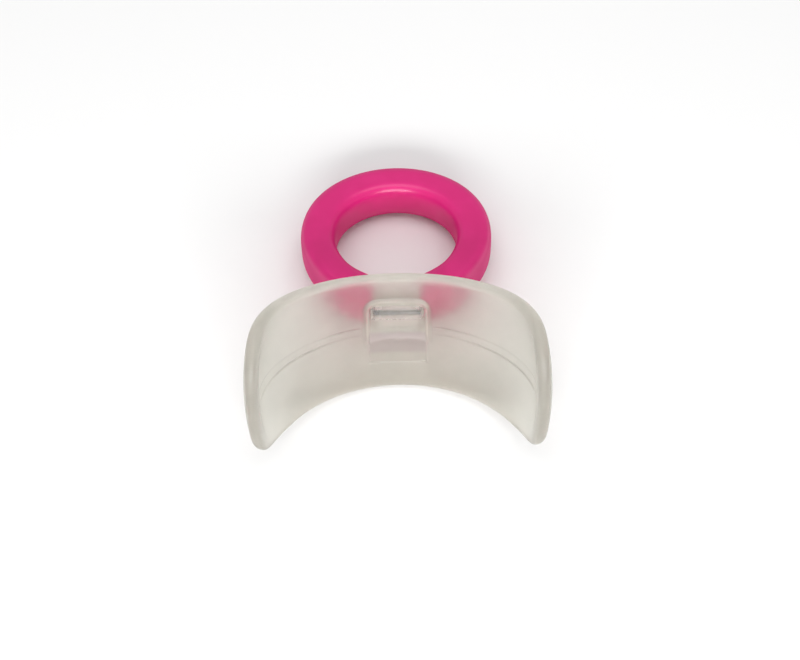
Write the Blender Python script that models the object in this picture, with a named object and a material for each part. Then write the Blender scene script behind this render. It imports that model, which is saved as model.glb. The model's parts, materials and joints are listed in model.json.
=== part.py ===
"""Lip-and-cheek shield with a hinged pull ring.

Three pieces: a curved translucent shield that sits between the teeth and the
inside of the lips and cheeks, an open pull ring for one finger, and a steel
hinge pin that joins them. The pin runs through a lug on the convex side of the
shield and into a blind hole in each end of the ring.

Frame: metres, +Z up. X runs across the mouth, +Y points out of the mouth, from
the shield towards the ring. The origin is the centre of the bounding box's lower
face. The shield is drawn upright in its own frame, with the centre of its
mid-surface at the origin. It leans towards the ring, and the whole object is then
turned about X to lie as on a table, on the middle of the shield's lower rim and
on the far edge of the ring. Dimensions are in millimetres and degrees.
"""

import math

import bmesh
import bpy
import numpy as np
from mathutils import Matrix

MM = 0.001
SMOOTH_ANGLE = 35        # edges sharper than this stay sharp

# ---- shield
HALF_ARC = 38.57         # half length along the mid-surface
HALF_HEIGHT = 11.81      # half height in the middle
END_FLARE = 0.335        # extra height at the ends, as a share
LONG_EXPONENT = 6.66     # squareness of the outline along its length
TALL_EXPONENT = 2.24     # squareness of the outline along its height
CURVE_0 = 0.03345        # plan curvature in the middle (radius 30)
CURVE_2 = 3.04e-5        # its growth with the square of the arc length
CURVE_4 = 3.5e-9         # its growth with the fourth power
BULGE = 1.36             # how far the upper and lower rims curl back
WALL = 2.4               # wall thickness
RIM_INSET = 1.05         # depth of the rounded rim
LEAN = 9.67              # top towards the ring
OUTLINE_POINTS = 104
NESTED_LOOPS = 7         # loops on each curved face
RIM_STEPS = 6            # steps round the rim

# ---- hinge
PIN_Y, PIN_Z = 4.76, 0.28  # pin axis from the shield's centre, after the lean
PIN_R = 0.70
PIN_HALF = 6.7           # half length
PIN_CHAMFER = 0.15
ROD_SIDES = 24           # sides of the pin and of the bore cutters
LUG_HALF = 4.15          # half width of the lug
LUG_R = 3.45             # round nose of the lug about the pin
LUG_NOSE_POINTS = 15
LUG_ROOT_Y = -0.4        # flat root, buried in the wall
LUG_BEVEL = 0.5
LUG_BEVEL_SEGMENTS = 2
LUG_BEVEL_ANGLE = 50     # edges sharper than this are bevelled
LUG_BORE_R = PIN_R + 0.05
LUG_BORE_OVERRUN = 2.0   # cutter beyond each side of the lug
RING_GAP = 0.3           # side play between lug and ring end
RING_BORE_R = PIN_R + 0.03
RING_BORE_START = LUG_HALF - 1.0  # cutter starts in the free space before the ring end
RING_BORE_END = PIN_HALF + 0.25   # blind bottom of the ring's holes

# ---- window and raised arch on the concave side, in the shield's frame
WINDOW_HALF = 5.0
WINDOW_TOP, WINDOW_LOW = 5.5, -4.6
WINDOW_CORNER = 1.2
WINDOW_FLOOR = -0.7      # Y of the floor, inside the wall
WINDOW_FADE = -1.35      # Y of the floor's lower end, just outside the wall
WINDOW_CUT_START = -8.0  # Y of the cutter's open end
ARCH_BAND = 1.3          # width of the arch's legs
ARCH_TOP_BAND = 1.6      # height of its top
ARCH_RISE = 0.35
ARCH_EDGE_RISE = 0.05    # rise of the arch's outer and inner edges
ARCH_CROWN_SHARE = 0.6   # width of the crown, as a share of the band
ARCH_CORNER = 2.6        # outer corner radius
ARCH_CORNER_POINTS = 7

# ---- pull ring
RING_R = 17.5            # outer radius
RING_HALF_W = 3.235      # half width of the section, in the ring's plane
RING_HALF_H = 3.866      # half thickness of the ring
RING_EXPONENT = 4.17     # squareness of the section
RING_LONG = 1.014        # stretch along Y
RING_EGG = 0.0667        # slightly wider at its far side
RING_TAPER = 0.15        # narrows towards the lug
RING_FAR = 0.13          # extra inner width of the section at the far side
INNER_EXPONENT = 3.6     # squareness of the section towards the hole
INNER_BLEND_START = 0.2  # where the inner exponent starts, as -cos round the section
INNER_BLEND_SPAN = 0.6   # and over how much more of -cos it takes over
RING_Y, RING_Z = 19.063, 1.757  # centre from the shield's centre
RING_TILT = 4.1          # far side up
END_EXPONENT = 2.5       # the section turns rounder at the two ends
END_SHRINK = 0.9         # and smaller
END_ZONE = 29.0          # degrees over which it does
END_EDGE = 0.45          # rounding of the end faces' edges
END_BOSS = 1.0           # extra inner width of the section at its two ends
RING_STEPS = 71          # steps along the ring, without the edge rounding
SECTION_POINTS = 24
RING_MIDDLE_R = RING_R - RING_HALF_W
RING_END_X = LUG_HALF + RING_GAP

# ---- rest on a table
REST_TILT = 15.404       # turns the far edge of the ring down to the table
# middle and lowest level of the bounding box, from the shield's centre
BOX_MID_Y = 6.6277
BOX_LOW_Z = -10.2579


# ------------------------------------------------------------ scene and materials


def clear_scene():
    for obj in list(bpy.data.objects):
        bpy.data.objects.remove(obj, do_unlink=True)
    for blocks in (bpy.data.meshes, bpy.data.materials):
        for block in list(blocks):
            blocks.remove(block)


def material(name, colour, roughness, metallic=0.0, transmission=0.0):
    mat = bpy.data.materials.new(name)
    mat.use_nodes = True
    shader = mat.node_tree.nodes["Principled BSDF"]
    shader.inputs["Base Color"].default_value = (*colour, 1.0)
    shader.inputs["Roughness"].default_value = roughness
    shader.inputs["Metallic"].default_value = metallic
    shader.inputs["Transmission Weight"].default_value = transmission
    mat.diffuse_color = (*colour, 1.0)
    return mat


def frosted_plastic():
    return material(
        "frosted_plastic", colour=(0.62, 0.61, 0.57), roughness=0.45, transmission=0.6
    )


def magenta_plastic():
    return material("magenta_plastic", colour=(0.66, 0.04, 0.19), roughness=0.32)


def steel():
    return material("steel", colour=(0.60, 0.61, 0.63), roughness=0.25, metallic=1.0)


def add_empty(name, parent=None, location=(0, 0, 0), turn_x=0.0):
    """An empty, placed in mm and turned about X in degrees."""
    empty = bpy.data.objects.new(name, None)
    bpy.context.scene.collection.objects.link(empty)
    empty.parent = parent
    empty.location = [c * MM for c in location]
    empty.rotation_euler = (math.radians(turn_x), 0, 0)
    return empty


# ------------------------------------------------------------------- mesh helpers


def to_object(bm, name, parent, mat=None):
    bmesh.ops.recalc_face_normals(bm, faces=bm.faces)
    mesh = bpy.data.meshes.new(name)
    bm.to_mesh(mesh)
    bm.free()
    obj = bpy.data.objects.new(name, mesh)
    bpy.context.scene.collection.objects.link(obj)
    obj.parent = parent
    if mat:
        mesh.materials.append(mat)
    return obj


def add_loop(bm, points):
    """Vertices at points given in mm."""
    return [bm.verts.new([c * MM for c in point]) for point in points]


def skin(bm, loops):
    """Join closed loops of points with quads; returns the loops of vertices."""
    rows = [add_loop(bm, loop) for loop in loops]
    for a, b in zip(rows, rows[1:]):
        for j in range(len(a)):
            k = (j + 1) % len(a)
            bm.faces.new((a[j], b[j], b[k], a[k]))
    return rows


def capped_skin(loops):
    bm = bmesh.new()
    rows = skin(bm, loops)
    bm.faces.new(rows[0])
    bm.faces.new(rows[-1][::-1])
    return bm


def extruded(points, shift):
    """A flat face through the points, extruded by shift; both in mm."""
    bm = bmesh.new()
    face = bm.faces.new(add_loop(bm, points))
    moved = bmesh.ops.extrude_face_region(bm, geom=[face])
    verts = [v for v in moved["geom"] if isinstance(v, bmesh.types.BMVert)]
    bmesh.ops.translate(bm, verts=verts, vec=[c * MM for c in shift])
    return bm


def rod(name, parent, radius, x_range, y=0.0, z=0.0, chamfer=0.0, mat=None):
    """A round rod along X, optionally with chamfered ends."""
    x0, x1 = x_range
    stations = [(x0, radius), (x1, radius)]
    if chamfer:
        stations = [
            (x0, radius - chamfer),
            (x0 + chamfer, radius),
            (x1 - chamfer, radius),
            (x1, radius - chamfer),
        ]
    angles = [2 * math.pi * j / ROD_SIDES for j in range(ROD_SIDES)]
    loops = [
        [(x, y + r * math.cos(a), z + r * math.sin(a)) for a in angles]
        for x, r in stations
    ]
    return to_object(capped_skin(loops), name, parent, mat)


def boolean(target, tool, operation):
    mod = target.modifiers.new(tool.name, "BOOLEAN")
    mod.operation = operation
    mod.solver = "EXACT"
    mod.object = tool
    tool.hide_render = True
    tool.display_type = "WIRE"


def smooth(obj):
    obj.data.shade_smooth()
    obj.data.set_sharp_from_angle(angle=math.radians(SMOOTH_ANGLE))


def signed_power(value, exponent):
    return np.sign(value) * np.abs(value) ** exponent


def smoothstep(t):
    return t * t * (3 - 2 * t)


# ------------------------------------------------------------------ shield surface

# Plan of the mid-surface by arc length: its direction, then its X and Y, which
# are summed up from the direction halfway along each step.
PLAN_ARC = np.linspace(0.0, HALF_ARC * 1.02, 1200)
PLAN_TURN = CURVE_0 * PLAN_ARC + CURVE_2 * PLAN_ARC**3 / 3 + CURVE_4 * PLAN_ARC**5 / 5
PLAN_STEP = PLAN_ARC[1] - PLAN_ARC[0]
STEP_TURN = (PLAN_TURN[1:] + PLAN_TURN[:-1]) / 2
PLAN_X = np.concatenate([[0.0], np.cumsum(np.cos(STEP_TURN)) * PLAN_STEP])
PLAN_Y = -np.concatenate([[0.0], np.cumsum(np.sin(STEP_TURN)) * PLAN_STEP])


def shield_point(arc, z, offset):
    """Point at an arc length and height, offset outwards (+Y) from the mid-surface."""
    distance = np.abs(arc)
    turn = np.sign(arc) * np.interp(distance, PLAN_ARC, PLAN_TURN)
    out = offset - BULGE * (z / HALF_HEIGHT) ** 2
    x = np.sign(arc) * np.interp(distance, PLAN_ARC, PLAN_X) + np.sin(turn) * out
    y = np.interp(distance, PLAN_ARC, PLAN_Y) + np.cos(turn) * out
    return np.stack([x, y, z], axis=-1)


def shield_outline():
    """The flared outline in (arc length, height).

    The points are evenly spaced before the flare is applied.
    """
    t = np.linspace(0, 2 * np.pi, 20001)
    arc = HALF_ARC * signed_power(np.cos(t), 2 / LONG_EXPONENT)
    z = HALF_HEIGHT * signed_power(np.sin(t), 2 / TALL_EXPONENT)
    run = np.concatenate([[0.0], np.cumsum(np.hypot(np.diff(arc), np.diff(z)))])
    wanted = (np.arange(OUTLINE_POINTS) + 0.5) * run[-1] / OUTLINE_POINTS
    arc = np.interp(wanted, run, arc)
    z = np.interp(wanted, run, z)
    return arc, z * (1 + END_FLARE * (np.abs(arc) / HALF_ARC) ** 2)


def shield_mesh():
    """Two curved faces, each a fan of nested outlines, joined by a rounded rim."""
    arc, z = shield_outline()
    arc_step = np.roll(arc, -1) - np.roll(arc, 1)
    z_step = np.roll(z, -1) - np.roll(z, 1)
    length = np.hypot(arc_step, z_step)
    inward_arc, inward_z = -z_step / length, arc_step / length

    def inset_loop(inset, offset, scale=1.0):
        return shield_point(
            (arc + inward_arc * inset) * scale, (z + inward_z * inset) * scale, offset
        )

    scales = np.linspace(0, 1, NESTED_LOOPS + 1)[1:]
    # convex face from the middle out, round the rim, concave face back in
    loops = [inset_loop(RIM_INSET, WALL / 2, scale) for scale in scales]
    for i in range(1, RIM_STEPS):
        angle = math.pi / 2 - math.pi * i / RIM_STEPS
        inset = RIM_INSET * (1 - math.cos(angle))
        loops.append(inset_loop(inset, WALL / 2 * math.sin(angle)))
    loops += [inset_loop(RIM_INSET, -WALL / 2, scale) for scale in scales[::-1]]

    bm = bmesh.new()
    rows = skin(bm, loops)
    centres = [shield_point(0.0, 0.0, offset) for offset in (WALL / 2, -WALL / 2)]
    convex_centre, concave_centre = add_loop(bm, centres)
    for j in range(OUTLINE_POINTS):
        k = (j + 1) % OUTLINE_POINTS
        bm.faces.new((convex_centre, rows[0][j], rows[0][k]))
        bm.faces.new((concave_centre, rows[-1][k], rows[-1][j]))
    return bm


# ------------------------------------------------------------------ shield details


def pin_in_shield():
    """The pin's axis (y, z) in the shield's own upright frame."""
    lean = math.radians(LEAN)
    return (
        PIN_Y * math.cos(lean) - PIN_Z * math.sin(lean),
        PIN_Y * math.sin(lean) + PIN_Z * math.cos(lean),
    )


def lug_block(parent):
    """A lug with a round nose about the pin, buried in the wall at its root."""
    y, z = pin_in_shield()
    profile = [
        (y + LUG_R * math.cos(a), z + LUG_R * math.sin(a))
        for a in np.linspace(-math.pi / 2, math.pi / 2, LUG_NOSE_POINTS)
    ]
    profile += [(LUG_ROOT_Y, z + LUG_R), (LUG_ROOT_Y, z - LUG_R)]
    bm = extruded([(-LUG_HALF, *point) for point in profile], (2 * LUG_HALF, 0, 0))
    lug = to_object(bm, "lug_block", parent)
    bevel = lug.modifiers.new("edges", "BEVEL")
    bevel.width = LUG_BEVEL * MM
    bevel.segments = LUG_BEVEL_SEGMENTS
    bevel.limit_method = "ANGLE"
    bevel.angle_limit = math.radians(LUG_BEVEL_ANGLE)
    return lug


def arch_path(half, top, corner):
    """An upside-down U: up the -X side, round two corners and down the +X side."""
    points = [(-half, WINDOW_LOW)]
    for side, start, end in ((-1, math.pi, math.pi / 2), (1, math.pi / 2, 0)):
        for a in np.linspace(start, end, ARCH_CORNER_POINTS):
            x = side * (half - corner) + corner * math.cos(a)
            points.append((x, top - corner + corner * math.sin(a)))
    points.append((half, WINDOW_LOW))
    return points


def window_path():
    return arch_path(WINDOW_HALF, WINDOW_TOP, WINDOW_CORNER)


def arch_band(parent):
    """The raised arch: a band round the window that follows the concave face."""
    outer_path = arch_path(WINDOW_HALF + ARCH_BAND, WINDOW_TOP + ARCH_TOP_BAND, ARCH_CORNER)
    root = -WALL / 4
    edge = -WALL / 2 - ARCH_EDGE_RISE
    crown = -WALL / 2 - ARCH_RISE
    loops = []
    for outer, inner in zip(np.array(outer_path), np.array(window_path())):
        middle = (outer + inner) / 2
        loops.append([
            shield_point(*outer, root),
            shield_point(*outer, edge),
            shield_point(*(middle + (outer - middle) * ARCH_CROWN_SHARE), crown),
            shield_point(*(middle + (inner - middle) * ARCH_CROWN_SHARE), crown),
            shield_point(*inner, edge),
            shield_point(*inner, root),
        ])
    return to_object(capped_skin(loops), "arch_band", parent)


def window_cut(parent):
    """Cutter for the shallow window, with the arch's inner outline."""
    points = [(x, WINDOW_CUT_START, z) for x, z in window_path()]
    bm = extruded(points, (0, WINDOW_FLOOR - WINDOW_CUT_START, 0))
    # the floor fades out at its lower end instead of stopping at a step
    for vert in bm.verts:
        on_floor = vert.co.y > WINDOW_CUT_START / 2 * MM
        if on_floor and vert.co.z < (WINDOW_LOW + 0.01) * MM:
            vert.co.y = WINDOW_FADE * MM
    return to_object(bm, "window_cut", parent)


def lug_bore(parent):
    y, z = pin_in_shield()
    reach = LUG_HALF + LUG_BORE_OVERRUN
    return rod("lug_bore", parent, LUG_BORE_R, (-reach, reach), y, z)


# -------------------------------------------------------------------- ring surface


def ring_scale(y):
    """Share by which the ring's width grows or shrinks at a place along Y."""
    return 1 + RING_EGG * y / RING_R - RING_TAPER * np.minimum(y / RING_R, 0.0) ** 2


def ring_section(station):
    """Loop of points at a station, counted from the +X end round the far side.

    Stations 0 to RING_STEPS follow the ring. One more beyond each end is trimmed
    and lies in the end plane, which rounds the edge of the end face.
    """
    share = min(max(station, 0), RING_STEPS) / RING_STEPS
    is_end_face = not 0 <= station <= RING_STEPS
    trim = END_EDGE if is_end_face else 0.0
    plane_x = RING_END_X + (0.0 if is_end_face else END_EDGE)

    # 1 at the two ends, 0 beyond the end zone
    sweep = math.pi + 2 * math.acos(RING_END_X / RING_MIDDLE_R)
    from_end = min(share, 1 - share) * sweep / math.radians(END_ZONE)
    near_end = smoothstep(1 - min(from_end, 1.0))

    # towards the hole the section is rounder, and wider at the ends and the far side
    around = (np.arange(SECTION_POINTS) + 0.5) * 2 * np.pi / SECTION_POINTS
    cos, sin = np.cos(around), np.sin(around)
    inner = smoothstep(np.clip((-cos - INNER_BLEND_START) / INNER_BLEND_SPAN, 0.0, 1.0))
    exponent = RING_EXPONENT + (END_EXPONENT - RING_EXPONENT) * near_end
    exponent = exponent + (INNER_EXPONENT - exponent) * inner
    far = max(0.0, -math.cos(2 * math.pi * share)) ** 2
    inner_extra = END_BOSS * near_end + RING_FAR * far
    shrink = 1 + (END_SHRINK - 1) * near_end
    half_w = RING_HALF_W * shrink - trim + np.where(cos < 0, inner_extra, 0.0)
    half_h = RING_HALF_H * shrink - trim
    radius = RING_MIDDLE_R + half_w * signed_power(cos, 2 / exponent)
    z = half_h * signed_power(sin, 2 / exponent)

    # each section point starts and stops where its own circle meets the end plane;
    # the width scale depends on that place, so it is found by iteration
    start = np.arccos(plane_x / radius)
    for _ in range(8):
        start = np.arccos(plane_x / (radius * ring_scale(-radius * np.sin(start))))
    angle = -start + (math.pi + 2 * start) * share
    y = radius * np.sin(angle)
    x = radius * np.cos(angle) * ring_scale(y)
    return np.stack([x, y * RING_LONG, z], axis=-1)


def ring_mesh():
    """A C-shaped ring. Both end faces are flat and face each other along X."""
    return capped_skin([ring_section(station) for station in range(-1, RING_STEPS + 2)])


# -------------------------------------------------------------------------- pieces


def build_shield(parent):
    shield = to_object(shield_mesh(), "shield", parent, frosted_plastic())
    smooth(shield)
    boolean(shield, lug_block(parent), "UNION")
    boolean(shield, arch_band(parent), "UNION")
    boolean(shield, window_cut(parent), "DIFFERENCE")
    boolean(shield, lug_bore(parent), "DIFFERENCE")


def build_ring(hinge):
    ring = to_object(ring_mesh(), "pull_ring", hinge, magenta_plastic())
    to_hinge = Matrix.Translation((0, (RING_Y - PIN_Y) * MM, (RING_Z - PIN_Z) * MM))
    ring.data.transform(to_hinge @ Matrix.Rotation(math.radians(RING_TILT), 4, "X"))
    smooth(ring)
    bores = (
        ("ring_bore_right", (RING_BORE_START, RING_BORE_END)),
        ("ring_bore_left", (-RING_BORE_END, -RING_BORE_START)),
    )
    for name, x_range in bores:
        boolean(ring, rod(name, hinge, RING_BORE_R, x_range), "DIFFERENCE")


def build_pin(hinge):
    pin = rod(
        "hinge_pin", hinge, PIN_R, (-PIN_HALF, PIN_HALF), chamfer=PIN_CHAMFER, mat=steel()
    )
    smooth(pin)


def main():
    clear_scene()
    # everything hangs on the base, so that the origin sits under the middle
    base = add_empty("base", location=(0, -BOX_MID_Y, -BOX_LOW_Z))
    rest = add_empty("rest_pose", base, turn_x=-REST_TILT)
    lean = add_empty("shield_lean", rest, turn_x=-LEAN)
    build_shield(lean)
    # the ring and the pin hang on an empty on the hinge axis
    hinge = add_empty("ring_hinge", rest, location=(0, PIN_Y, PIN_Z))
    build_ring(hinge)
    build_pin(hinge)


main()
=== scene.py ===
"""Looks of the lip-and-cheek shield with its hinged pull ring.

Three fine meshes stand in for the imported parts, in the same frame and size:
- the frosted shield, one moulding with its lug, arch, window and seam lines,
  meshed from a signed-distance field on a graded grid;
- the magenta pull ring, lofted along its path, with rounded end faces and
  blind holes for the pin;
- the drawn steel pin.

X runs across the shield and along the pin. The shield's hollow side faces -Y,
and the lug and the ring stand on its +Y side. Shapes are drawn in millimetres
in a "rest" frame, whose origin is the middle of the shield. That frame is
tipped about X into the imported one, and the shield leans further towards +Y.
"""

import json
import math

import bmesh
import bpy
import numpy as np
from mathutils import Matrix, Vector


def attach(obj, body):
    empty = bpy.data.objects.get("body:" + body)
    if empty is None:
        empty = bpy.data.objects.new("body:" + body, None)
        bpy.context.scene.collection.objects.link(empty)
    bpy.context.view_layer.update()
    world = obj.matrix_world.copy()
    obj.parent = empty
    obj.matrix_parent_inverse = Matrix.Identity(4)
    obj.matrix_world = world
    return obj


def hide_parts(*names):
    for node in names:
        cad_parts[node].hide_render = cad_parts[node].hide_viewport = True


MM = 0.001  # metres in a millimetre

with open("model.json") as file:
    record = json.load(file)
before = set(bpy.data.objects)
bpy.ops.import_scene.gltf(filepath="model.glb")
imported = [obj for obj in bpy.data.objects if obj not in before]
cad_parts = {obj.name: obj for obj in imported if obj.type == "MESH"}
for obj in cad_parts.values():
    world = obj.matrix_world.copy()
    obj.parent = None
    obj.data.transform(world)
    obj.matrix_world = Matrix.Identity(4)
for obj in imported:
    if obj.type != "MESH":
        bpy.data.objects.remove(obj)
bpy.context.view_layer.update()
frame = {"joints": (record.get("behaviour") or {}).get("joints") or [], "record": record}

# ---------------------------------------------------------- dimensions (mm, degrees)
# shield: "arc" is the length along its plan curve, counted from the middle
HALF_ARC = 38.57
HALF_HEIGHT = 11.81
END_FLARE = 0.335  # share by which the height grows at the ends
LONG_EXPONENT, TALL_EXPONENT = 6.66, 2.24  # of the outline
CURVE_0, CURVE_2, CURVE_4 = 0.03345, 3.04e-5, 3.5e-9  # plan bend, by power of arc
BULGE = 1.36  # how far the sheet falls back at its top and bottom edges
WALL = 2.4
RIM_INSET = 1.05
END_RIM_EXTRA = 1.3  # wider rim rounding on the hollow side of the ends
END_RIM_ARC = (24.0, 33.0)
LEAN = 9.67
# hinge, pin axis in the rest frame
PIN_Y, PIN_Z = 4.76, 0.28
PIN_R = 0.70
PIN_HALF = 6.7
PIN_EDGE = 0.15
PIN_CENTRE_R = 0.02  # smallest loop, at the middle of an end face
FACE_LOOP_R = 0.3  # loop part-way across a pin end or bore bottom
LUG_HALF = 4.15
LUG_R = 3.45
LUG_EDGE = 0.55
LUG_START_Y = 0.2
LUG_FILLET = 0.9
LUG_BORE_R = PIN_R + 0.05
BORE_FILLET = 0.06
# window, a pocket in the hollow side, and the raised arch around it
WINDOW_HALF = 5.0
WINDOW_TOP, WINDOW_BOTTOM = 5.5, -6.5
WINDOW_CORNER = 1.2
WINDOW_FLOOR = -0.7
FLOOR_RISE = 0.95  # the pocket gets this much shallower towards its foot
FLOOR_RISE_DOWN = (-0.8, 3.8)  # range of -z over which it does
FLOOR_FILLET, WINDOW_FILLET = 0.2, 0.4
ARCH_BAND = 1.3
ARCH_TOP_BAND = 1.6
ARCH_RISE = 0.4375
ARCH_CORNER = 2.6
ARCH_EDGE = (-0.75, 0.15)  # fade of the rise across the arch's outer edge
ARCH_FOOT_Z = (-3.2, -0.9)
# the two seam lines of the hollow side, upper first: middle height, drop per mm² of
# arc, groove depth, groove width, ridge height, ridge height above the groove
SEAMS = (
    (0.88, 0.00045, 0.14, 0.17, 0.04, 0.4),
    (-0.62, 0.0010, 0.17, 0.18, 0.07, 0.42),
)
RIDGE_WIDTH = 0.22
SEAM_START_ARC, SEAM_END_ARC = (6.2, 8.0), (30.0, 34.5)
SEAM_CHANGE_ARC = (11.0, 16.0)
# ring, in its own frame: centre at the origin, hinge towards -Y
RING_R = 17.5
RING_HALF_W = 3.235
RING_HALF_H = 3.866
RING_MIDDLE_R = RING_R - RING_HALF_W
RING_EXPONENT = 4.17  # of the section
INNER_EXPONENT = 3.6  # of the section's side towards the hole
INNER_SIDE = (0.2, 0.8)
RING_LONG = 1.014
RING_EGG = 0.0667
RING_TAPER = 0.15
RING_FAR = 0.13
RING_Y, RING_Z = 19.063, 1.757  # its centre in the rest frame
RING_TILT = 4.1
RING_END_X = LUG_HALF + 0.3  # end faces, a gap away from the lug
END_EXPONENT = 2.5
END_SHRINK = 0.9
END_ZONE = 29.0
END_EDGE = 0.45
END_BOSS = 1.0
RING_BORE_R = PIN_R + 0.03
RING_BORE_END = PIN_HALF + 0.25
BORE_MOUTH = 0.06  # chamfers of the bore
BORE_BOTTOM = 0.1

# ---------------------------------------------------------------- place in frame
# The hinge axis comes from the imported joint, and the resting turn from the
# packed direction of the ring's upper face.
joint = next(j for j in frame["joints"] if j["name"] == "ring_swing")
face = next(m for m in frame["record"]["mounts"] if m["name"] == "ring_upper_face")
REST_TILT = math.degrees(math.atan2(face["axis"][1], face["axis"][2])) + RING_TILT


def turn_x(degrees):
    angle = math.radians(degrees)
    cos, sin = math.cos(angle), math.sin(angle)
    return np.array([[1, 0, 0], [0, cos, -sin], [0, sin, cos]])


REST_TURN = turn_x(-REST_TILT)
BASE = np.array(joint["pos_m"]) / MM - REST_TURN @ np.array([0.0, PIN_Y, PIN_Z])
SHIELD_TURN = turn_x(-REST_TILT - LEAN)
# the pin axis in the leaning frame of the shield
_, SHIELD_PIN_Y, SHIELD_PIN_Z = turn_x(LEAN) @ np.array([0.0, PIN_Y, PIN_Z])


def to_world(points, turn):
    """Points (mm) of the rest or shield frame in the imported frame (mm)."""
    return points @ turn.T + BASE


# -------------------------------------------------------------------- shape helpers
def smoothstep(x, start, end):
    share = np.clip((x - start) / (end - start), 0.0, 1.0)
    return share * share * (3 - 2 * share)


def bell(distance, width):
    return np.exp(-((distance / width) ** 2))


def signed_power(value, exponent):
    return np.sign(value) * np.abs(value) ** exponent


def smooth_min(first, second, blend):
    overlap = np.maximum(blend - np.abs(first - second), 0.0) / blend
    return np.minimum(first, second) - overlap * overlap * blend * 0.25


def smooth_max(first, second, blend):
    return -smooth_min(-first, -second, blend)


def rounded_corner(across, up, radius):
    """Signed distance to a corner, from the distances past its rounding's centre."""
    return (
        np.minimum(np.maximum(across, up), 0.0)
        + np.hypot(np.maximum(across, 0.0), np.maximum(up, 0.0))
        - radius
    )


# ------------------------------------------------------------- plan of the shield
PLAN_ARC = np.linspace(0.0, HALF_ARC + 8.0, 4001)
PLAN_TURN = CURVE_0 * PLAN_ARC + CURVE_2 * PLAN_ARC**3 / 3 + CURVE_4 * PLAN_ARC**5 / 5
PLAN_BEND = CURVE_0 + CURVE_2 * PLAN_ARC**2 + CURVE_4 * PLAN_ARC**4
PLAN_STEP = PLAN_ARC[1] - PLAN_ARC[0]
STEP_TURN = (PLAN_TURN[1:] + PLAN_TURN[:-1]) / 2
PLAN_X = np.concatenate([[0.0], np.cumsum(np.cos(STEP_TURN)) * PLAN_STEP])
PLAN_Y = -np.concatenate([[0.0], np.cumsum(np.sin(STEP_TURN)) * PLAN_STEP])


def plan_offsets(x, y, arc):
    """Distances of plan points along and out from the curve's frame at arc."""
    turn = np.interp(arc, PLAN_ARC, PLAN_TURN)
    dx = np.abs(x) - np.interp(arc, PLAN_ARC, PLAN_X)
    dy = y - np.interp(arc, PLAN_ARC, PLAN_Y)
    along = dx * np.cos(turn) - dy * np.sin(turn)
    out = dx * np.sin(turn) + dy * np.cos(turn)
    return along, out


def plan_coords(x, y, arc, steps):
    """Arc length (0 and up) and outward distance of plan points, from a first guess."""
    for _ in range(steps):
        bend = np.interp(arc, PLAN_ARC, PLAN_BEND)
        along, out = plan_offsets(x, y, arc)
        arc = np.clip(arc + along / np.maximum(1 + bend * out, 0.2), 0.0, PLAN_ARC[-1])
    return arc, plan_offsets(x, y, arc)[1]


def plan_guess(x, y, every=12, batch=20000):
    """Arc of the nearest of every few plan samples, worked out in batches."""
    plan_x, plan_y, arc = PLAN_X[::every], PLAN_Y[::every], PLAN_ARC[::every]
    guess = np.empty(len(x))
    for i in range(0, len(x), batch):
        part = slice(i, i + batch)
        square = (np.abs(x[part])[:, None] - plan_x) ** 2 + (y[part][:, None] - plan_y) ** 2
        guess[part] = arc[np.argmin(square, axis=1)]
    return guess


# ------------------------------------------------------------------ shield's field
def arch_distance(across, z, half, top, corner):
    """Signed distance to an upside-down U that is open downwards, negative inside."""
    return rounded_corner(np.abs(across) - (half - corner), z - (top - corner), corner)


def window_outline(x, z):
    return arch_distance(x, z, WINDOW_HALF, WINDOW_TOP, WINDOW_CORNER)


def arch_outline(arc, z):
    half, top = WINDOW_HALF + ARCH_BAND, WINDOW_TOP + ARCH_TOP_BAND
    return arch_distance(arc, z, half, top, ARCH_CORNER)


def above_seams(arc, z):
    """Height above the upper and the lower seam line."""
    return [z - (middle - drop * arc**2) for middle, drop, *_ in SEAMS]


def seam_strengths(arc):
    """The upper line is the clearer one near the arch, the lower one further out."""
    mask = smoothstep(arc, *SEAM_START_ARC) * (1 - smoothstep(arc, *SEAM_END_ARC))
    far = smoothstep(arc, *SEAM_CHANGE_ARC)
    return mask * (1 - 0.6 * far), mask * (0.4 + 0.6 * far)


def seam_cut(arc, z):
    """Depth of the seam grooves, less the ridge above each."""
    cut = 0.0
    for seam, above, strength in zip(SEAMS, above_seams(arc, z), seam_strengths(arc)):
        _, _, depth, width, ridge, ridge_up = seam
        groove = depth * bell(above, width)
        cut = cut + strength * (groove - ridge * bell(above - ridge_up, RIDGE_WIDTH))
    return cut


def end_widening(arc):
    return 1 + END_FLARE * (arc / HALF_ARC) ** 2


def sheet_offset(out, z):
    """Distance from the sheet's bulged middle surface, positive on the outer side."""
    return out + BULGE * (z / HALF_HEIGHT) ** 2


def edge_distance(arc, z):
    """Distance to the outline, in the sheet's own surface, negative inside."""
    long = arc / HALF_ARC
    widen = end_widening(arc)
    tall = np.abs(z) / widen / HALF_HEIGHT
    level = long**LONG_EXPONENT + tall**TALL_EXPONENT + 1e-9
    slope_arc = (
        LONG_EXPONENT / HALF_ARC * long ** (LONG_EXPONENT - 1)
        - TALL_EXPONENT * tall**TALL_EXPONENT / widen * 2 * END_FLARE * long / HALF_ARC
    )
    slope_z = TALL_EXPONENT / HALF_HEIGHT / widen * tall ** (TALL_EXPONENT - 1)
    root = level ** (1 / TALL_EXPONENT)
    slope = root / level / TALL_EXPONENT * np.hypot(slope_arc, slope_z)
    return np.maximum((root - 1) / np.maximum(slope, 1e-4), -6.0)


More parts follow.
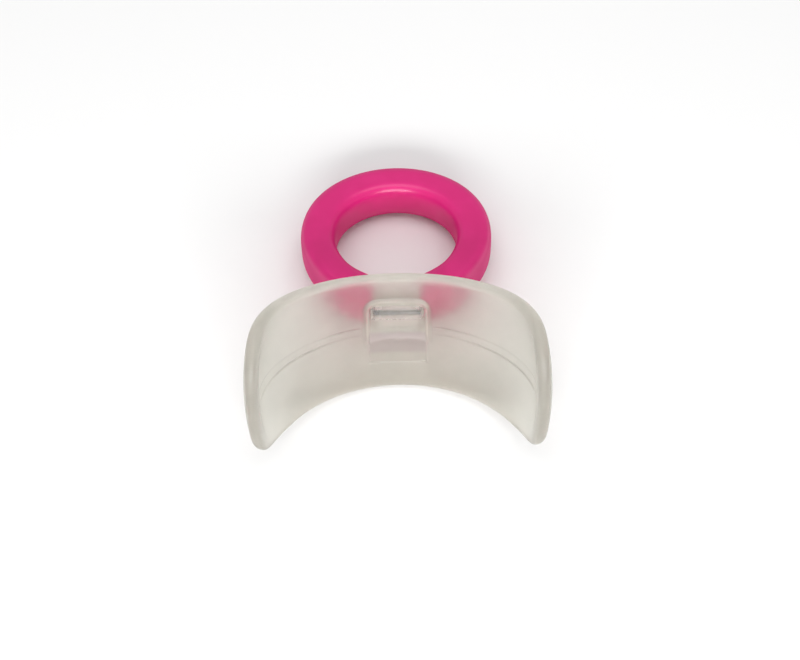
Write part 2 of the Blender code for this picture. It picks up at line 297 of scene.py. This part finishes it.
def sheet_field(z, arc, out):
    """The curved sheet with its rounded rim, and the relief of its hollow side."""
    off = sheet_offset(out, z)
    end_inset = RIM_INSET + END_RIM_EXTRA * smoothstep(arc, *END_RIM_ARC)
    inset = np.where(off > 0, RIM_INSET, end_inset)
    past_inset = np.maximum(edge_distance(arc, z) + inset, 0.0) / inset
    arch = 1 - smoothstep(arch_outline(arc, z), *ARCH_EDGE)
    rise = ARCH_RISE * arch * smoothstep(z, *ARCH_FOOT_Z)
    half = np.where(off > 0, WALL / 2, WALL / 2 + rise - seam_cut(arc, z))
    return (np.hypot(past_inset, np.abs(off) / half) - 1) * half


def lug_field(x, y, z, from_pin):
    """Block on the outer side, with a round nose about the pin."""
    nose = np.where(y > SHIELD_PIN_Y, from_pin, np.abs(z - SHIELD_PIN_Z)) - LUG_R
    lug = rounded_corner(np.abs(x) - LUG_HALF + LUG_EDGE, nose + LUG_EDGE, LUG_EDGE)
    return np.maximum(lug, LUG_START_Y - y)


def window_field(x, y, z):
    floor = WINDOW_FLOOR - FLOOR_RISE * smoothstep(-z, *FLOOR_RISE_DOWN)
    pocket = smooth_max(window_outline(x, z), y - floor, FLOOR_FILLET)
    return np.maximum(pocket, WINDOW_BOTTOM - z)


def from_pin_axis(y, z):
    return np.hypot(y - SHIELD_PIN_Y, z - SHIELD_PIN_Z)


def shield_field(x, y, z, arc, out):
    """Signed distance (mm, approximate away from the surface), negative inside.

    out is the outward distance from the plan curve.
    """
    from_pin = from_pin_axis(y, z)
    field = smooth_min(sheet_field(z, arc, out), lug_field(x, y, z, from_pin), LUG_FILLET)
    field = smooth_max(field, -window_field(x, y, z), WINDOW_FILLET)
    return smooth_max(field, LUG_BORE_R - from_pin, BORE_FILLET)


# ------------------------------------------------------------------- mesh helpers
def graded(spans):
    """Grid positions from (start, end, step) spans that follow one another."""
    parts = []
    for start, end, step in spans:
        count = max(1, int(round((end - start) / step)))
        parts.append(np.linspace(start, end, count + 1)[:-1])
    parts.append([spans[-1][1]])
    return np.concatenate(parts)


def surface_net(xs, ys, zs, field):
    """Points and quads on the zero level of field[x, y, z], one point per cell."""
    inside = field < 0
    count = np.zeros(tuple(n - 1 for n in inside.shape), np.int8)
    corners = [(i, j, k) for i in (0, 1) for j in (0, 1) for k in (0, 1)]
    nx, ny, nz = count.shape
    for i, j, k in corners:
        count += inside[i : i + nx, j : j + ny, k : k + nz]
    cells = np.argwhere((count > 0) & (count < 8))
    index = np.full(count.shape, -1, np.int64)
    index[tuple(cells.T)] = np.arange(len(cells))

    def corner_data(corner):
        i, j, k = (cells + corner).T
        return field[i, j, k], np.stack([xs[i], ys[j], zs[k]], 1)

    # each point is the mean of the crossings on its cell's edges
    total = np.zeros((len(cells), 3))
    number = np.zeros(len(cells))
    for corner in corners:
        for axis in range(3):
            if corner[axis]:
                continue
            other = list(corner)
            other[axis] = 1
            value_a, place_a = corner_data(corner)
            value_b, place_b = corner_data(other)
            crossed = (value_a < 0) != (value_b < 0)
            share = np.where(crossed, value_a / np.where(crossed, value_a - value_b, 1.0), 0.0)
            crossing = place_a + share[:, None] * (place_b - place_a)
            total += np.where(crossed[:, None], crossing, 0.0)
            number += crossed

    # each grid edge that crosses the surface joins its four cells
    faces = []
    for axis in range(3):
        edges = np.argwhere(np.diff(inside, axis=axis))
        side_a, side_b = (axis + 1) % 3, (axis + 2) % 3
        keep = (edges[:, side_a] > 0) & (edges[:, side_b] > 0)
        keep &= edges[:, side_a] < count.shape[side_a]
        keep &= edges[:, side_b] < count.shape[side_b]
        edges = edges[keep]
        quad = []
        for back_a, back_b in ((1, 1), (0, 1), (0, 0), (1, 0)):
            cell = edges.copy()
            cell[:, side_a] -= back_a
            cell[:, side_b] -= back_b
            quad.append(index[tuple(cell.T)])
        quad = np.stack(quad, 1)
        # with the solid at the edge's start the face looks towards +axis
        turned = ~inside[tuple(edges.T)]
        quad[turned] = quad[turned][:, ::-1]
        faces.append(quad)
    return total / number[:, None], np.concatenate(faces)


def loft_quads(row_count, sides):
    """Quads between closed rows of points, one row after another."""
    i = np.arange(row_count - 1)[:, None] * sides
    j = np.arange(sides)[None, :]
    k = (j + 1) % sides
    corners = (i + sides + j, i + sides + k, i + k, i + j)
    return np.stack(np.broadcast_arrays(*corners), -1).reshape(-1, 4)


def rounded_edge(radius, count):
    """(back from the face, in from the side) of a quarter round, from the face on."""
    angles = np.linspace(math.pi / 2, 0, count)
    return [(radius * (1 - math.sin(a)), radius * (1 - math.cos(a))) for a in angles]


def mesh_object(name, points, faces, normals=None):
    """A smooth object from points (mm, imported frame) and quads."""
    mesh = bpy.data.meshes.new(name)
    width = faces.shape[1]
    mesh.vertices.add(len(points))
    mesh.vertices.foreach_set("co", (points * MM).astype(np.float32).ravel())
    mesh.loops.add(faces.size)
    mesh.loops.foreach_set("vertex_index", faces.astype(np.int32).ravel())
    mesh.polygons.add(len(faces))
    mesh.polygons.foreach_set("loop_start", np.arange(0, faces.size, width, dtype=np.int32))
    mesh.polygons.foreach_set("loop_total", np.full(len(faces), width, np.int32))
    mesh.update(calc_edges=True)
    mesh.validate()
    mesh.polygons.foreach_set("use_smooth", np.ones(len(mesh.polygons), bool))
    if normals is not None:
        mesh.normals_split_custom_set_from_vertices(normals.astype(np.float32).tolist())
    return link_object(name, mesh)


def link_object(name, data):
    obj = bpy.data.objects.new(name, data)
    bpy.context.scene.collection.objects.link(obj)
    return obj


def add_attributes(obj, **values_by_name):
    for name, values in values_by_name.items():
        layer = obj.data.attributes.new(name, "FLOAT", "POINT")
        layer.data.foreach_set("value", np.asarray(values, np.float32))


# --------------------------------------------------------------------- the shield
# (start, end, step) of the grid, finest at the lug, window and seam lines
GRID_X = ((-26.6, -8.6, 0.24), (-8.6, 8.6, 0.125), (8.6, 26.6, 0.24))
GRID_Y = ((-25.4, -3.0, 0.24), (-3.0, 1.6, 0.125), (1.6, 8.6, 0.15))
GRID_Z = (
    (-15.2, -6.4, 0.25), (-6.4, -2.9, 0.15), (-2.9, 1.3, 0.07), (1.3, 8.4, 0.13),
    (8.4, 15.2, 0.25),
)
PULL_STEP, PULL_TOTAL = 0.1, 0.14  # longest moves of a vertex onto the surface


def gradient(evaluate, points, reach):
    slopes = np.empty_like(points)
    for axis in range(3):
        step = np.zeros(3)
        step[axis] = reach
        rise = evaluate(points + step)[0] - evaluate(points - step)[0]
        slopes[:, axis] = rise / (2 * reach)
    return slopes


def limited(moves, longest):
    size = np.linalg.norm(moves, axis=1)
    return moves * (np.minimum(size, longest) / np.maximum(size, 1e-9))[:, None]


def pull_to_surface(evaluate, start):
    """Moves points onto the surface, but never far from where the net put them."""
    points = start
    for _ in range(3):
        value = evaluate(points)[0]
        slopes = gradient(evaluate, points, reach=0.02)
        step = value[:, None] * slopes / np.maximum((slopes**2).sum(1), 0.09)[:, None]
        points = points - limited(step, PULL_STEP)
        points = start + limited(points - start, PULL_TOTAL)
    return points


def shield_masks(obj, points, arc, out):
    """Attributes that tell the material where each feature lies."""
    x, y, z = points.T
    hollow = smoothstep(-sheet_offset(out, z), 0.0, 0.5) * (y < 0.0)
    window = (1 - smoothstep(window_outline(x, z), -0.6, -0.15)) * (y < 0.3)
    bore = 1 - smoothstep(np.abs(from_pin_axis(y, z) - LUG_BORE_R), 0.05, 0.15)
    arch = (1 - smoothstep(arch_outline(arc, z), -0.7, 0.1)) * smoothstep(z, *ARCH_FOOT_Z)
    # the lug's root below the window, darkened with painted mauve shade that stands for shade and
    # the ring's pink light seen through the wall
    root_across = 1 - smoothstep(np.abs(arc), 4.6, 6.2)
    root = root_across * smoothstep(z, -5.1, -4.1) * (1 - smoothstep(z, -1.2, -0.2))
    # painted light: a paler band along the rim, faded out towards the ends
    rim = smoothstep(edge_distance(arc, z), -2.2, -0.5) * (1 - smoothstep(arc, 22.0, 30.0))
    # painted shade along the seam grooves and a painted highlight on the lower seam's ridge
    above_upper, above_lower = above_seams(arc, z)
    upper, lower = seam_strengths(arc)
    groove = upper * bell(above_upper, 0.2) + lower * bell(above_lower, 0.22)
    add_attributes(
        obj,
        # only the upper part of the window is polished, and the same mask carries the window's
        # painted shade
        polish=np.maximum(window * smoothstep(z, 1.2, 3.2), bore),
        arch=arch * hollow,
        lug_root=root * hollow,
        rim=rim,
        seam_groove=groove * hollow,
        seam_ridge=lower * bell(above_lower - 0.5, 0.28) * hollow,
        height=z / (HALF_HEIGHT * end_widening(arc)),
        along=arc / HALF_ARC,
    )


def build_shield():
    xs, ys, zs = graded(GRID_X), graded(GRID_Y), graded(GRID_Z)
    grid_x, grid_y = np.meshgrid(xs, ys, indexing="ij")
    flat_x, flat_y = grid_x.ravel(), grid_y.ravel()
    arc, out = plan_coords(flat_x, flat_y, plan_guess(flat_x, flat_y), steps=4)
    field = np.empty((len(xs), len(ys), len(zs)), np.float32)
    for k, z in enumerate(zs):
        level = np.full_like(flat_x, z)
        field[:, :, k] = shield_field(flat_x, flat_y, level, arc, out).reshape(grid_x.shape)
    points, faces = surface_net(xs, ys, zs, field)
    arc_table = arc.reshape(grid_x.shape)

    def evaluate(points):
        """Field, arc and outward distance at any points near the grid."""
        x, y, z = points.T
        i = np.clip(np.searchsorted(xs, x), 0, len(xs) - 1)
        j = np.clip(np.searchsorted(ys, y), 0, len(ys) - 1)
        arc, out = plan_coords(x, y, arc_table[i, j], steps=3)
        return shield_field(x, y, z, arc, out), arc, out

    points = pull_to_surface(evaluate, points)
    normals = gradient(evaluate, points, reach=0.03)
    normals /= np.maximum(np.linalg.norm(normals, axis=1), 1e-9)[:, None]
    world = to_world(points, SHIELD_TURN)
    obj = mesh_object("frosted_shield", world, faces, normals @ SHIELD_TURN.T)
    shield_masks(obj, points, *evaluate(points)[1:])
    return obj


# ----------------------------------------------------------------------- the ring
RING_STEPS = 440
RING_SIDES = 112


def section_angles(count):
    """Section angles spaced evenly along the section's outline."""
    angles = np.linspace(0, 2 * np.pi, 40001)
    width = RING_HALF_W * signed_power(np.cos(angles), 2 / RING_EXPONENT)
    height = RING_HALF_H * signed_power(np.sin(angles), 2 / RING_EXPONENT)
    run = np.concatenate([[0.0], np.cumsum(np.hypot(np.diff(width), np.diff(height)))])
    return np.interp((np.arange(count) + 0.5) * run[-1] / count, run, angles)


def ring_scale(y):
    """Share by which the ring's width grows or shrinks at a place along Y."""
    return 1 + RING_EGG * y / RING_R - RING_TAPER * np.minimum(y / RING_R, 0.0) ** 2


def ring_row(section, share, plane, trim):
    """One loop of the ring at a share of its path from the +X end to the -X end.

    plane is |x| of the end loops, and trim is how far the section is drawn in.
    """
    sweep = math.pi + 2 * math.acos(RING_END_X / RING_MIDDLE_R)
    from_end = min(share, 1 - share) * sweep / math.radians(END_ZONE)
    near_end = smoothstep(1 - from_end, 0, 1)
    shrink = 1 + (END_SHRINK - 1) * near_end
    # towards the hole the section is rounder, and wider at the ends and the far side
    inner = smoothstep(-np.cos(section), *INNER_SIDE)
    exponent = RING_EXPONENT + (END_EXPONENT - RING_EXPONENT) * near_end
    exponent = exponent + (INNER_EXPONENT - exponent) * inner
    far_side = max(0.0, -math.cos(2 * math.pi * share)) ** 2
    extra = END_BOSS * near_end + RING_FAR * far_side
    half_width = RING_HALF_W * shrink - trim + np.where(np.cos(section) < 0, extra, 0.0)
    radius = RING_MIDDLE_R + half_width * signed_power(np.cos(section), 2 / exponent)
    z = (RING_HALF_H * shrink - trim) * signed_power(np.sin(section), 2 / exponent)
    # the start angle puts the scaled end loop in the plane
    start = np.arccos(plane / radius)
    for _ in range(12):
        start = np.arccos(plane / (radius * ring_scale(-radius * np.sin(start))))
    angle = -start + (math.pi + 2 * start) * share
    x, y = radius * np.cos(angle), radius * np.sin(angle)
    return np.stack([x * ring_scale(y), y * RING_LONG, z], 1)


def end_cap(row, side, bore):
    """Loops from an end row in to the bore, along it and across its bottom."""
    outward = row[:, 1:] - bore
    far = np.hypot(outward[:, 0], outward[:, 1])
    unit = outward / far[:, None]
    mouth = RING_BORE_R + BORE_MOUTH
    # |x| and distance from the bore's axis
    profile = [(RING_END_X, mouth + (far - mouth) * share) for share in (0.75, 0.5, 0.25)]
    profile += [
        (RING_END_X, mouth),
        (RING_END_X + BORE_MOUTH, RING_BORE_R),
        (RING_BORE_END - BORE_BOTTOM, RING_BORE_R),
        (RING_BORE_END, RING_BORE_R - BORE_BOTTOM),
        (RING_BORE_END, FACE_LOOP_R),
        (RING_BORE_END, PIN_CENTRE_R),
    ]
    loops = []
    for x, reach in profile:
        yz = bore + unit * np.broadcast_to(reach, far.shape)[:, None]
        loops.append(np.concatenate([np.full((len(far), 1), side * x), yz], 1))
    return loops


def build_ring():
    section = section_angles(RING_SIDES)
    edge = [(RING_END_X + back, trim) for back, trim in rounded_edge(END_EDGE, 9)[:-1]]
    rows = [ring_row(section, 0.0, *step) for step in edge]
    for share in np.linspace(0, 1, RING_STEPS + 1):
        rows.append(ring_row(section, share, RING_END_X + END_EDGE, 0.0))
    rows += [ring_row(section, 1.0, *step) for step in reversed(edge)]
    tilt = turn_x(RING_TILT)
    # the pin's place (y, z) in the ring's own frame
    bore = (np.array([0.0, PIN_Y - RING_Y, PIN_Z - RING_Z]) @ tilt)[1:]
    rows = end_cap(rows[0], 1, bore)[::-1] + rows + end_cap(rows[-1], -1, bore)
    points = np.concatenate(rows)
    rest = points @ tilt.T + np.array([0.0, RING_Y, RING_Z])
    faces = loft_quads(len(rows), RING_SIDES)
    obj = mesh_object("magenta_ring", to_world(rest, REST_TURN), faces)
    x, y, z = points.T
    add_attributes(
        obj,
        ring_turn=np.arctan2(y, x),
        ring_out=(np.hypot(x, y) - RING_MIDDLE_R) / RING_HALF_W,
        ring_up=z / RING_HALF_H,
    )
    return obj


# ------------------------------------------------------------------------ the pin
PIN_SIDES = 96


def build_pin():
    # (x, radius) from the -X end to the middle, then mirrored
    stations = [(-PIN_HALF, PIN_CENTRE_R), (-PIN_HALF, FACE_LOOP_R)]
    stations += [(-PIN_HALF + back, PIN_R - trim) for back, trim in rounded_edge(PIN_EDGE, 5)]
    stations += [(x, PIN_R) for x in np.linspace(-PIN_HALF + 0.6, 0, 16)]
    stations += [(-x, radius) for x, radius in stations[::-1][1:]]
    angles = np.arange(PIN_SIDES) * 2 * np.pi / PIN_SIDES
    rows = []
    for x, radius in stations:
        y, z = PIN_Y + radius * np.cos(angles), PIN_Z + radius * np.sin(angles)
        rows.append(np.stack([np.full(PIN_SIDES, x), y, z], 1))
    # the rows run towards +X, so the quads are turned over to face outwards
    faces = loft_quads(len(rows), PIN_SIDES)[:, [2, 1, 0, 3]]
    return mesh_object("steel_pin", to_world(np.concatenate(rows), REST_TURN), faces)


# --------------------------------------------------------------------- materials
class Nodes:
    """A material's node tree. Each helper adds a node and returns its output."""

    def __init__(self, name):
        self.mat = bpy.data.materials.new(name)
        self.mat.use_nodes = True
        self.tree = self.mat.node_tree
        self.tree.nodes.clear()
        self.out = self.tree.nodes.new("ShaderNodeOutputMaterial")

    def add(self, kind, inputs=None, output=0, **settings):
        """inputs maps a socket's name or number to a value or to an output."""
        node = self.tree.nodes.new(kind)
        for key, value in settings.items():
            setattr(node, key, value)
        for key, value in (inputs or {}).items():
            if isinstance(value, bpy.types.NodeSocket):
                self.tree.links.new(value, node.inputs[key])
            else:
                node.inputs[key].default_value = value
        return node.outputs[output]

    def coords(self):
        return self.add("ShaderNodeTexCoord", output="Object")

    def attr(self, name):
        return self.add("ShaderNodeAttribute", output="Fac", attribute_name=name)

    def calc(self, operation, *values, clamp=False):
        inputs = dict(enumerate(values))
        return self.add("ShaderNodeMath", inputs, operation=operation, use_clamp=clamp)

    def mix(self, share, first, second):
        inputs = {0: share, 6: first, 7: second}
        return self.add("ShaderNodeMix", inputs, 2, data_type="RGBA", clamp_factor=True)

    def mix_shader(self, share, first, second):
        return self.add("ShaderNodeMixShader", {0: share, 1: first, 2: second})

    def ramp(self, value, over, to=(0.0, 1.0)):
        """Maps value smoothly from the range over to the range to, held at the ends."""
        inputs = dict(enumerate((value, *over, *to)))
        return self.add(
            "ShaderNodeMapRange", inputs, interpolation_type="SMOOTHSTEP", clamp=True
        )

    def noise(self, vector, scale, detail, rough, distortion=0.0):
        inputs = {"Vector": vector, "Scale": scale, "Detail": detail}
        inputs.update({"Roughness": rough, "Distortion": distortion})
        return self.add("ShaderNodeTexNoise", inputs, "Fac")

    def finish(self, shader):
        self.tree.links.new(shader, self.out.inputs["Surface"])
        return self.mat


def frosted_material():
    """Translucent moulding: light is refracted by a frosted skin, and a share of
    it is scattered by the plastic itself."""
    n = Nodes("frosted_plastic")
    at = n.coords()
    polish, arch, rim, root = n.attr("polish"), n.attr("arch"), n.attr("rim"), n.attr("lug_root")
    groove, ridge = n.attr("seam_groove"), n.attr("seam_ridge")
    # cloudiness of the moulding, a mottled skin, a fine frosted grain and specks
    cloud = n.noise(at, scale=230.0, detail=3.0, rough=0.6)
    mottle = n.noise(at, scale=900.0, detail=3.0, rough=0.6, distortion=0.6)
    grain = n.noise(at, scale=5200.0, detail=2.0, rough=0.6)
    specks = n.add("ShaderNodeTexVoronoi", {"Vector": at, "Scale": 620.0}, "Distance")
    # tint colours the refracted light, body the scattered light
    clouding = (0.32, 0.68)
    tint_clouds = (0.825, 0.818, 0.757, 1), (0.868, 0.856, 0.797, 1)
    body_clouds = (0.755, 0.720, 0.620, 1), (0.830, 0.795, 0.700, 1)
    tint = n.mix(n.ramp(cloud, over=clouding), *tint_clouds)
    body = n.mix(n.ramp(cloud, over=clouding), *body_clouds)
    # pale mottling, painted light on the rim, dark specks
    body = n.mix(n.ramp(mottle, over=(0.55, 0.75), to=(0.0, 0.45)), body, (0.93, 0.92, 0.85, 1))
    body = n.mix(n.calc("MULTIPLY", rim, 0.7), body, (0.98, 0.955, 0.90, 1))
    body = n.mix(n.ramp(specks, over=(0.10, 0.02), to=(0.0, 0.35)), body, (0.60, 0.57, 0.50, 1))
    # painted shade: a mauve-grey tint darkens the lug's root and the window, for shade and the
    # ring's pink light seen through the wall
    root_share = n.calc("MULTIPLY", root, 0.9)
    tint = n.mix(root_share, tint, (0.740, 0.670, 0.680, 1))
    body = n.mix(root_share, body, (0.640, 0.560, 0.545, 1))
    # painted shade: the polished window is tinted dark mauve for the shaded pocket and the ring's
    # pink light behind it
    tint = n.mix(n.calc("MULTIPLY", polish, 0.6), tint, (0.620, 0.585, 0.610, 1))
    # painted shade in the seam grooves, painted highlight on the ridge
    groove_share = n.calc("MULTIPLY", groove, 0.45)
    tint = n.mix(groove_share, tint, (0.56, 0.54, 0.50, 1))
    body = n.mix(groove_share, body, (0.45, 0.42, 0.37, 1))
    body = n.mix(n.calc("MULTIPLY", ridge, 0.4), body, (0.97, 0.96, 0.91, 1))
    # the window and the bore are polished, everything else is frosted
    polished_rough, frosted_bump = 0.11, 0.16
    rough = n.ramp(grain, over=(0.3, 0.7), to=(0.33, 0.40))
    frosted = n.calc("SUBTRACT", 1.0, polish)
    rough = n.calc("MULTIPLY_ADD", rough, frosted, n.calc("MULTIPLY", polish, polished_rough))
    mottle_height = 1.6  # relative to the grain
    height = n.calc("MULTIPLY_ADD", mottle, mottle_height, grain)
    strength = n.calc("MULTIPLY_ADD", polish, -frosted_bump, frosted_bump, clamp=True)
    normal = n.add("ShaderNodeBump", {"Strength": strength, "Distance": 0.00003, "Height": height})
    skin = n.add(
        "ShaderNodeBsdfPrincipled",
        {
            "Base Color": tint,
            "Roughness": rough,
            "IOR": 1.46,
            "Transmission Weight": 1.0,
            "Normal": normal,
        },
    )
    near = n.add("ShaderNodeBsdfDiffuse", {"Color": body, "Normal": normal})
    through = n.add("ShaderNodeBsdfTranslucent", {"Color": body, "Normal": normal})
    through_share = 0.55
    milk = n.mix_shader(through_share, near, through)
    # share of the refracting skin, and how much each feature adds to it
    share = n.ramp(cloud, over=(0.3, 0.7), to=(0.93, 0.88))
    for mask, gain in ((polish, 0.07), (arch, -0.30), (rim, -0.25)):
        share = n.calc("MULTIPLY_ADD", mask, gain, share)
    ridge_gain = -0.10
    share = n.calc("MULTIPLY_ADD", ridge, ridge_gain, share, clamp=True)
    return n.finish(n.mix_shader(share, milk, skin))


def magenta_material():
    """Satin moulding: a soft sheen seen face on, plain colour at grazing angles."""
    n = Nodes("magenta_plastic")
    cloud = n.noise(n.coords(), scale=180.0, detail=2.0, rough=0.5)
    tones = (0.650, 0.0110, 0.172, 1), (0.680, 0.0135, 0.186, 1)
    colour = n.mix(n.ramp(cloud, over=(0.35, 0.65)), *tones)
    satin = n.add(
        "ShaderNodeBsdfPrincipled",
        {
            "Base Color": colour,
            "Roughness": n.ramp(cloud, over=(0.3, 0.7), to=(0.28, 0.32)),
            "IOR": 1.49,
            "Specular IOR Level": 0.5,
        },
    )
    plain = n.add("ShaderNodeBsdfDiffuse", {"Color": colour})
    facing = n.add("ShaderNodeLayerWeight", {"Blend": 0.5}, "Facing")
    plain_share = n.ramp(facing, over=(0.40, 0.75), to=(0.0, 0.6))
    return n.finish(n.mix_shader(plain_share, satin, plain))


def steel_material():
    """Dark steel with fine drawing lines along X."""
    n = Nodes("drawn_steel")
    stretch = {"Vector": n.coords(), "Scale": (60.0, 2400.0, 2400.0)}
    lines = n.noise(n.add("ShaderNodeMapping", stretch), scale=1.0, detail=4.0, rough=0.6)
    tones = (0.12, 0.14, 0.18, 1), (0.20, 0.22, 0.27, 1)
    colour = n.mix(n.ramp(lines, over=(0.3, 0.7)), *tones)
    normal = n.add("ShaderNodeBump", {"Strength": 0.2, "Distance": 0.00001, "Height": lines})
    steel = {
        "Base Color": colour,
        "Metallic": 1.0,
        "Roughness": n.ramp(lines, over=(0.3, 0.7), to=(0.22, 0.34)),
        "Normal": normal,
    }
    return n.finish(n.add("ShaderNodeBsdfPrincipled", steel))


def floor_material():
    n = Nodes("studio_floor")
    tones = (0.86, 0.86, 0.86, 1), (0.875, 0.875, 0.872, 1)
    colour = n.mix(n.noise(n.coords(), scale=8.0, detail=2.0, rough=0.5), *tones)
    matt = {"Base Color": colour, "Roughness": 0.7, "Specular IOR Level": 0.2}
    return n.finish(n.add("ShaderNodeBsdfPrincipled", matt))


# ------------------------------------------------------------------------- pieces
# mesh, material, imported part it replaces, material slot, body it rides on
PIECES = (
    (build_shield, frosted_material, "shield", "frosted_plastic", "shield"),
    (build_ring, magenta_material, "pull_ring", "magenta_plastic", "ring"),
    (build_pin, steel_material, "hinge_pin", "steel", "ring"),
)
for build, material, part, slot, body in PIECES:
    piece = build()
    piece.data.materials.append(material())
    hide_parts(part)
    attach(piece, body)


# ---------------------------------------------------------------- stage (metres)
def build_floor(half_size=1.2, drop=0.00003):
    mesh = bpy.data.meshes.new("studio_floor")
    bm = bmesh.new()
    bmesh.ops.create_grid(bm, x_segments=2, y_segments=2, size=half_size)
    bm.to_mesh(mesh)
    bm.free()
    mesh.materials.append(floor_material())
    floor = link_object("studio_floor", mesh)
    floor.location = (0, 0, -drop)


def area_light(name, place, target, size, power):
    data = bpy.data.lights.new(name, "AREA")
    data.shape = "RECTANGLE"
    data.size, data.size_y = size
    data.energy = power
    light = link_object(name, data)
    light.location = place
    direction = Vector(target) - Vector(place)
    light.rotation_euler = direction.to_track_quat("-Z", "Y").to_euler()


def white_world(strength):
    world = bpy.data.worlds.new("studio")
    bpy.context.scene.world = world
    world.use_nodes = True
    background = world.node_tree.nodes["Background"]
    background.inputs["Color"].default_value = (1.0, 1.0, 1.0, 1)
    background.inputs["Strength"].default_value = strength


build_floor()
area_light("overhead", place=(0.0, 0.05, 0.55), target=(0, 0, 0), size=(0.5, 0.4), power=1.1)
area_light(
    "front_softbox", place=(0.0, -0.45, 0.29), target=(0, 0.015, 0.01), size=(0.42, 0.12), power=2.3
)
white_world(strength=0.54)

# ------------------------------------------------------------------------- camera
# degrees, in the rest frame; the distance (mm) is from the rest frame's origin
CAMERA_YAW, CAMERA_ABOVE, CAMERA_ROLL = 0.6039, 45.5576, -1.6128
CAMERA_DISTANCE = 249.2


def build_camera():
    """Looks down from -Y on the hollow side of the shield."""
    yaw, above, roll = np.radians((CAMERA_YAW, CAMERA_ABOVE, CAMERA_ROLL))
    cos, sin = math.cos(yaw), math.sin(yaw)
    turn_z = np.array([[cos, -sin, 0], [sin, cos, 0], [0, 0, 1.0]])
    cos, sin = math.cos(above), math.sin(above)
    axes = np.array([[0, -cos, sin], [1, 0, 0], [0, sin, cos]])
    back, right, up = axes @ turn_z.T @ REST_TURN.T
    cos, sin = math.cos(roll), math.sin(roll)
    rolled_right, rolled_up = cos * right + sin * up, -sin * right + cos * up
    place = (BASE + CAMERA_DISTANCE * back) * MM
    data = bpy.data.cameras.new("camera")
    data.sensor_width = 36.0
    data.sensor_fit = "HORIZONTAL"
    data.lens = 63.705
    data.shift_x, data.shift_y = 0.00326, -0.00498
    data.clip_start, data.clip_end = 0.01, 10.0
    camera = link_object("camera", data)
    rows = [tuple(row) for row in zip(rolled_right, rolled_up, back, place)]
    camera.matrix_world = Matrix(rows + [(0, 0, 0, 1)])
    bpy.context.scene.camera = camera


build_camera()
bpy.context.scene.view_settings.view_transform = "Standard"
bpy.context.scene.view_settings.look = "None"
